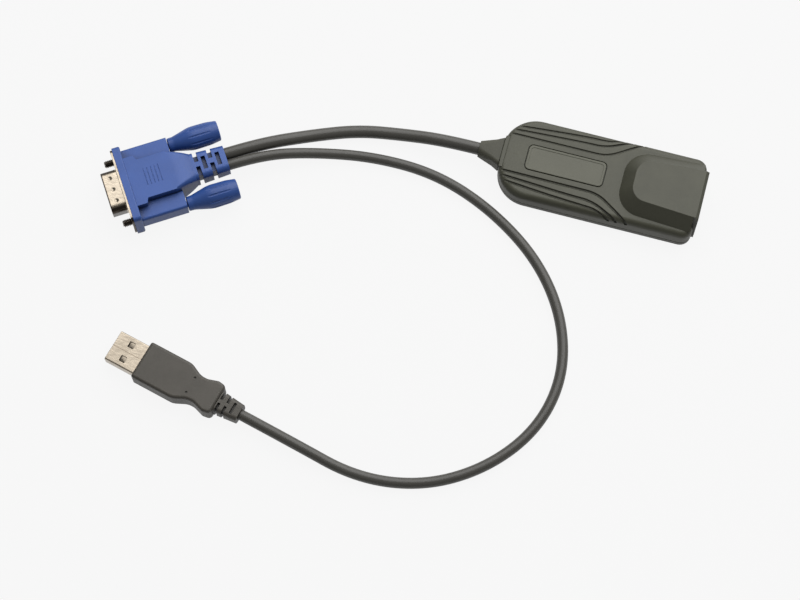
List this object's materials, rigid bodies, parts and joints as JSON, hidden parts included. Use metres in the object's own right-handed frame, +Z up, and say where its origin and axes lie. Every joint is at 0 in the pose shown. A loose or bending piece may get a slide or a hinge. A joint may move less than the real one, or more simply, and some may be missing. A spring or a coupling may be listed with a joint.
{
  "type": "kvm dongle",
  "caption": "KVM interface dongle: a moulded pod with a network socket, a short video lead with a captive-screw plug, and a looping USB lead.",
  "frame": {"origin": "middle of the pod's underside", "axes": "+X along the pod towards its network socket, +Z up out of the pod's badge face; the pod and both plugs rest on z = 0"},
  "size_m": [0.2188, 0.1513, 0.0136],
  "materials": {
    "pod_plastic": "fine moulded texture, olive grey",
    "badge_plastic": "pale grey-green, satin, bare",
    "boot_rubber": "soft olive grey",
    "cable_jacket": "satin PVC, dark grey",
    "board_laminate": "green solder mask",
    "chip_epoxy": "black epoxy",
    "can_steel": "bright can",
    "capacitor_can": "bright can",
    "header_plastic": "natural nylon",
    "jack_plastic": "black, moulded",
    "gold_contact": "gold plated",
    "connector_steel": "nickel plated, warm",
    "insert_plastic": "blue, moulded",
    "plug_blue": "blue PVC, satin",
    "screw_steel": "dark plated",
    "usb_plastic": "dark grey PVC, fine texture",
    "tongue_plastic": "white"
  },
  "bodies": {
    "dongle": {"upper_housing": "pod_plastic", "lower_housing": "pod_plastic", "badge_plate": "badge_plastic", "cable_boot": "boot_rubber", "circuit_board": "board_laminate", "controller_chip": "chip_epoxy", "memory_chip": "chip_epoxy", "crystal": "can_steel", "wire_header": "header_plastic", "capacitors": "capacitor_can", "jack_housing": "jack_plastic", "jack_contacts": "gold_contact", "video_cable": "cable_jacket", "usb_cable": "cable_jacket", "vga_front_shell": "connector_steel", "vga_rear_shell": "connector_steel", "vga_insert": "insert_plastic", "vga_pins": "gold_contact", "vga_hood": "plug_blue", "usb_shell": "connector_steel", "usb_tongue": "tongue_plastic", "usb_contacts": "gold_contact", "usb_overmould": "usb_plastic"},
    "thumbscrew_near": {"thumbscrew_shaft_near": "screw_steel", "thumbscrew_grip_near": "plug_blue"},
    "thumbscrew_far": {"thumbscrew_shaft_far": "screw_steel", "thumbscrew_grip_far": "plug_blue"}
  },
  "joints": [
    {"name": "thumbscrew_near_turn", "type": "hinge", "parent": "dongle", "child": "thumbscrew_near", "pos_m": [-0.15452, -0.05737, 0.0067], "axis": [0.829, 0.5592, 0], "continuous": true},
    {"name": "thumbscrew_far_turn", "type": "hinge", "parent": "dongle", "child": "thumbscrew_far", "pos_m": [-0.1685, -0.03665, 0.0067], "axis": [0.829, 0.5592, 0], "continuous": true}
  ]
}
